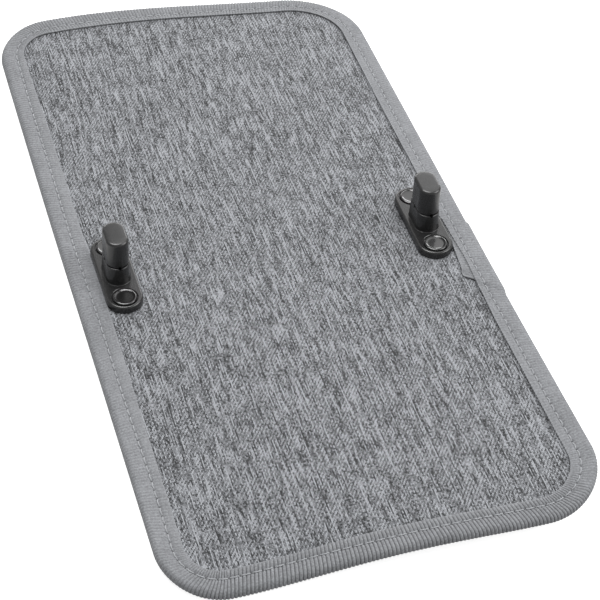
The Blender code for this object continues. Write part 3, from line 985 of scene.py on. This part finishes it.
def yarn_tone(g, x, y, warp_yarn, weft_yarn, over, streak):
    """How light the yarn on top is: stretches along each yarn, single floats and broad bands."""
    warp_seed = g.math("MULTIPLY", warp_yarn, 7.31)
    weft_seed = g.math("MULTIPLY", weft_yarn, 5.17)
    warp_tone = g.noise(g.vector(warp_seed, g.math("DIVIDE", y, streak), 0.0), 1.0, 2.0, 0.7)
    weft_tone = g.noise(g.vector(g.math("DIVIDE", x, streak * 0.5), weft_seed, 40.0), 1.0, 2.0, 0.7)
    warp_share = g.spread(warp_tone, 0.34, 0.66, 0.05, 1.2)
    weft_share = g.spread(weft_tone, 0.36, 0.64, 0.0, 0.6)
    cell = g.random(g.vector(warp_yarn, weft_yarn, 0.0))
    band_place = g.vector(g.math("DIVIDE", x, 2.6), g.math("DIVIDE", y, 42.0), 3.0)
    bands = g.noise(band_place, 1.0, 2.0, 0.6)
    share = g.mix(over, weft_share, warp_share)
    share = g.math("ADD", share, g.math("MULTIPLY_ADD", cell, 0.76, -0.38))
    return g.math("ADD", share, g.math("MULTIPLY_ADD", bands, 0.5, -0.25))


def rare_stretches(g, warp_yarn, y, seed, length, depth, most):
    """0 nearly everywhere and most on rare stretches of single warp yarns."""
    place = g.vector(g.math("MULTIPLY", warp_yarn, seed), g.math("DIVIDE", y, length), depth)
    return g.spread(g.noise(place, 1.0, 1.0), 0.58, 0.66, 0.0, most)


def woven(name, pitches, dark, light, streak, flecks):
    """Warp-faced twill of mottled yarns, with painted shade where the weave is low between them.

    pitches are the warp and weft spacings, streak is the length of a light or dark stretch along
    the warp, all in millimetres, and flecks is how much the rare bright slubs stand out.
    """
    g = Nodes(name)
    x, y, z = g.place()
    warp_yarn, weft_yarn, over, round_x, height = weave(g, x, y, pitches)
    share = yarn_tone(g, x, y, warp_yarn, weft_yarn, over, streak)
    slubs = rare_stretches(g, warp_yarn, y, 3.77, 14.0, 70.0, flecks)
    thin = rare_stretches(g, warp_yarn, y, 2.91, 12.0, 120.0, flecks * 0.4)
    share = g.math("SUBTRACT", share, thin)
    # Painted shade: the yarns darken where the weave's height is low, in the gaps between them.
    gap_shade = g.spread(height, 0.0, 0.8, 0.45, 1.0)
    share = g.math("MULTIPLY", g.math("MAXIMUM", share, 0.0), gap_shade)
    share = g.math("ADD", share, g.math("MULTIPLY", slubs, round_x))
    fibre = g.noise(g.vector(g.math("DIVIDE", x, 0.16), g.math("DIVIDE", y, 0.5), z), 1.0, 2.0)
    g.bump(g.math("ADD", height, g.math("MULTIPLY", fibre, 0.25)), 0.2)
    colour = g.colours(share, grey(dark, 0.05), grey(light, 0.06))
    return g.finish(colour, 0.9, sheen=0.1, sheen_roughness=0.5, specular=0.2)


def tape_material():
    """Grosgrain: mottled cords and filling yarns, with painted shade in the gaps between the ribs
    and in the needle holes.
    """
    g = Nodes("grosgrain tape")
    rib = g.attribute("rib")
    fibre = g.grain(3.5, 3.0, 0.6)
    grain = g.grain(1.5, 2.0, 0.7)
    patch = g.grain(0.12, 3.0, 0.6)
    tone = g.math("ADD", g.math("MULTIPLY", grain, 0.75), g.math("MULTIPLY", patch, 0.25))
    cord = g.colours(g.spread(tone, 0.35, 0.65), grey(0.13, 0.05), grey(0.235, 0.05))
    # Painted shade: the gaps between the ribs darken towards this dark grey.
    shaded = g.colours(g.spread(rib, 0.05, 0.7, 0.0, 1.0), grey(0.08, 0.05), cord)
    bright = g.colours(g.math("MULTIPLY", g.attribute("selvedge"), 0.45), shaded, grey(0.24, 0.05))
    # Painted shade: the needle holes darken to near black.
    hole_shaded = g.colours(g.spread(g.attribute("hole"), 0.3, 0.9, 0.0, 0.85), bright, grey(0.04))
    g.bump(fibre, 0.07)
    return g.finish(hole_shaded, 0.75, sheen=0.2, sheen_roughness=0.4, specular=0.3)


def thread_material():
    """Twisted thread, a little paler than the tape."""
    g = Nodes("polyester thread")
    x, y, z = g.place()
    ply = g.math("SINE", g.math("MULTIPLY", g.math("ADD", g.math("ADD", x, y), z), 9.0))
    fibre = g.grain(6.0)
    g.bump(g.math("ADD", ply, fibre), 0.04)
    colour = g.colours(fibre, grey(0.25, 0.05), grey(0.34, 0.05))
    return g.finish(colour, 0.6, sheen=0.2, specular=0.4)


def plastic_material():
    """Moulded black plastic: fine spark-eroded grain, a little uneven in gloss."""
    g = Nodes("satin black plastic")
    grain = g.grain(7.0, 3.0, 0.6)
    cloud = g.grain(0.25, 3.0, 0.55)
    g.bump(grain, 0.012)
    colour = g.colours(cloud, grey(0.012, 0.01), grey(0.017, 0.01))
    mottle = g.math("ADD", g.math("MULTIPLY", cloud, 0.6), g.math("MULTIPLY", grain, 0.4))
    return g.finish(colour, g.spread(mottle, 0.3, 0.7, 0.19, 0.26), specular=0.6)


def rivet_material():
    """Smooth glossy black enamel."""
    g = Nodes("black enamelled rivet")
    fine = g.grain(2.0, 3.0, 0.6)
    g.bump(fine, 0.01)
    colour = g.colours(fine, grey(0.008, 0.0), grey(0.012, 0.0))
    return g.finish(colour, g.spread(fine, 0.3, 0.7, 0.10, 0.14), specular=0.85)


def metal_material(name, level, roughness, scale):
    """Bright metal with fine marks across its length."""
    g = Nodes(name)
    mark = g.grain(scale, 4.0, 0.6, stretch=(1.0, 1.0, 4.0))
    g.bump(mark, 0.01)
    colour = g.colours(mark, grey(level * 0.8, 0.02), grey(level, 0.02))
    return g.finish(colour, g.spread(mark, 0.3, 0.7, roughness, roughness + 0.15), metallic=1.0)


def foam_material():
    """Open-celled grey foam."""
    g = Nodes("thin foam")
    cells = g.grain(3.0, 4.0, 0.7)
    g.bump(cells, 0.2)
    colour = g.colours(g.spread(cells, 0.35, 0.65), grey(0.16), grey(0.42))
    return g.finish(colour, 0.95)


def board_material():
    """Dark board with its grain along the panel."""
    g = Nodes("stiffener board")
    grain = g.grain(0.8, 4.0, 0.6, stretch=(4.0, 1.0, 1.0))
    g.bump(grain, 0.03)
    return g.finish(g.colours(grain, grey(0.03), grey(0.06)), 0.55)


def paint(obj, material):
    obj.data.materials.clear()
    obj.data.materials.append(material)


# -------- putting it together

# The material slot of each sheet's node.
SHEET_SLOTS = {
    "back_lining": "lining",
    "stiffener_board": "board",
    "foam_layer": "foam",
    "face_fabric": "heathered_fabric",
}


def build_panel(materials):
    """The soft panel: tape, both threads and the stacked sheets."""
    tape = build_tape()
    paint(tape, materials["tape"])
    needle = build_thread("needle_thread_stitches", 1)
    bobbin = build_thread("bobbin_thread_stitches", -1)
    for thread, node in ((needle, "needle_thread"), (bobbin, "bobbin_thread")):
        paint(thread, materials["thread"])
        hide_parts(node)
    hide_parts("edge_binding")
    sheets = build_sheets()
    for node, obj in sheets.items():
        paint(obj, materials[SHEET_SLOTS[node]])
        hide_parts(node)
    for obj in (tape, needle, bobbin, *sheets.values()):
        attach(obj, "panel")


def build_fastener(side_name, materials):
    """One turn-button fastener: each piece with its node, material and body."""
    plate = build_base_plate(f"{side_name}_base_plate_moulding")
    knob = build_knob(f"{side_name}_knob_moulding")
    screw = build_screw(f"{side_name}_spindle_screw_turned")
    washer_node = f"{side_name}_spring_washer"
    washer = build_washer(f"{washer_node}_disc", washer_node, WASHER_HOLE)
    spring_low, spring_high = cad_box(f"{side_name}_spring")
    spring = build_spring(f"{side_name}_spring_coil", spring_low[2], spring_high[2])
    # (object, name of its node, material, slot, body)
    pieces = [
        (plate, "base_plate", "plastic", "black_plastic", "panel"),
        (knob, "knob", "plastic", "black_plastic", f"{side_name}_turn"),
        (screw, "spindle_screw", "zinc", "zinc_steel", f"{side_name}_turn"),
        (washer, "spring_washer", "zinc", "zinc_steel", f"{side_name}_lift"),
        (spring, "spring", "wire", "spring_steel", "panel"),
    ]
    for end, place in ((-1, "near"), (1, "far")):
        rivet = build_rivet(f"{side_name}_{place}_rivet_dished")
        burr = build_burr(f"{side_name}_{place}_burr_disc", f"{side_name}_{place}_burr_washer")
        for obj in (rivet, burr):
            obj.data.transform(Matrix.Translation((0, end * RIVET_OFFSET * MM, 0)))
        pieces.append((rivet, f"{place}_rivet", "rivet", "black_rivet", "panel"))
        pieces.append((burr, f"{place}_burr_washer", "zinc", "zinc_steel", "panel"))
    side = SIDES[side_name]
    for obj, node, material, slot, body in pieces:
        obj.location = (side * FASTENER_X * MM, FASTENER_Y * MM, 0)
        bpy.context.view_layer.update()
        paint(obj, materials[material])
        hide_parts(f"{side_name}_{node}")
        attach(obj, body)
    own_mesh(spring)


# The studio: (name, place, size, watts), in metres. Each is turned towards the middle of the panel.
SOFTBOXES = (
    ("back softbox", (0.72, 0.95, 1.1), (1.2, 1.2), 5.2),
    ("side softbox", (0.9, -0.35, 0.75), (0.8, 0.8), 8.5),
    ("overhead softbox", (-0.15, 0.3, 1.4), (0.9, 0.8), 17.0),
    ("low strip", (0.5, 1.5, 0.5), (1.8, 0.45), 13.0),
)


def build_stage(lowest):
    """A wide pale floor under the panel, brightened for the camera only, in a white studio."""
    reach = 4000.0
    corners = [(-reach, -reach, 0), (reach, -reach, 0), (reach, reach, 0), (-reach, reach, 0)]
    floor = build_mesh("floor", corners, [(0, 1, 2, 3)])
    g = Nodes("pale floor")
    seen = g.add("ShaderNodeLightPath", {}, "Is Camera Ray")
    g.put(g.shader.inputs["Emission Color"], (1.0, 1.0, 1.0))
    g.put(g.shader.inputs["Emission Strength"], g.math("MULTIPLY", seen, 0.85))
    floor.data.materials.append(g.finish((0.55, 0.55, 0.55), 0.8))
    floor.location.z = (lowest - 0.05) * MM
    floor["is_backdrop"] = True

    world = bpy.data.worlds.new("studio")
    bpy.context.scene.world = world
    world.use_nodes = True
    background = world.node_tree.nodes["Background"]
    background.inputs["Color"].default_value = (1.0, 1.0, 1.0, 1.0)
    background.inputs["Strength"].default_value = 0.5

    for name, place, size, power in SOFTBOXES:
        add_light(name, place, size, power)


def add_light(name, place, size, power):
    """A rectangular softbox, turned towards the origin."""
    data = bpy.data.lights.new(name, "AREA")
    data.shape = "RECTANGLE"
    data.size, data.size_y = size
    data.energy = power
    light = bpy.data.objects.new(name, data)
    light.location = place
    light.rotation_euler = (-Vector(place)).to_track_quat("-Z", "Y").to_euler()
    bpy.context.scene.collection.objects.link(light)


def build_camera():
    """The photograph's camera, as fitted to the panel's outline and the fasteners."""
    data = bpy.data.cameras.new("camera")
    data.sensor_width = 36.0
    data.lens = 115.9
    camera = bpy.data.objects.new("camera", data)
    camera.location = (-0.1774, -0.5516, 0.5222)
    camera.rotation_euler = [angle * pi / 180 for angle in (46.534, -2.419, -16.850)]
    bpy.context.scene.collection.objects.link(camera)
    bpy.context.scene.camera = camera


def main():
    """Build everything round the frame."""
    bpy.context.scene.view_settings.view_transform = "Standard"
    materials = {
        "heathered_fabric": woven("heathered fabric", (0.476, 0.654), 0.03, 0.355, 9.0, 0.8),
        "lining": woven("lining cloth", (0.45, 0.45), 0.03, 0.085, 4.0, 0.0),
        "foam": foam_material(),
        "board": board_material(),
        "tape": tape_material(),
        "thread": thread_material(),
        "plastic": plastic_material(),
        "rivet": rivet_material(),
        "zinc": metal_material("zinc plated steel", 0.62, 0.28, 2.0),
        "wire": metal_material("spring wire", 0.5, 0.22, 3.0),
    }
    build_camera()
    build_panel(materials)
    for side_name in SIDES:
        build_fastener(side_name, materials)
    build_stage(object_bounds()[0][2] / MM)


main()
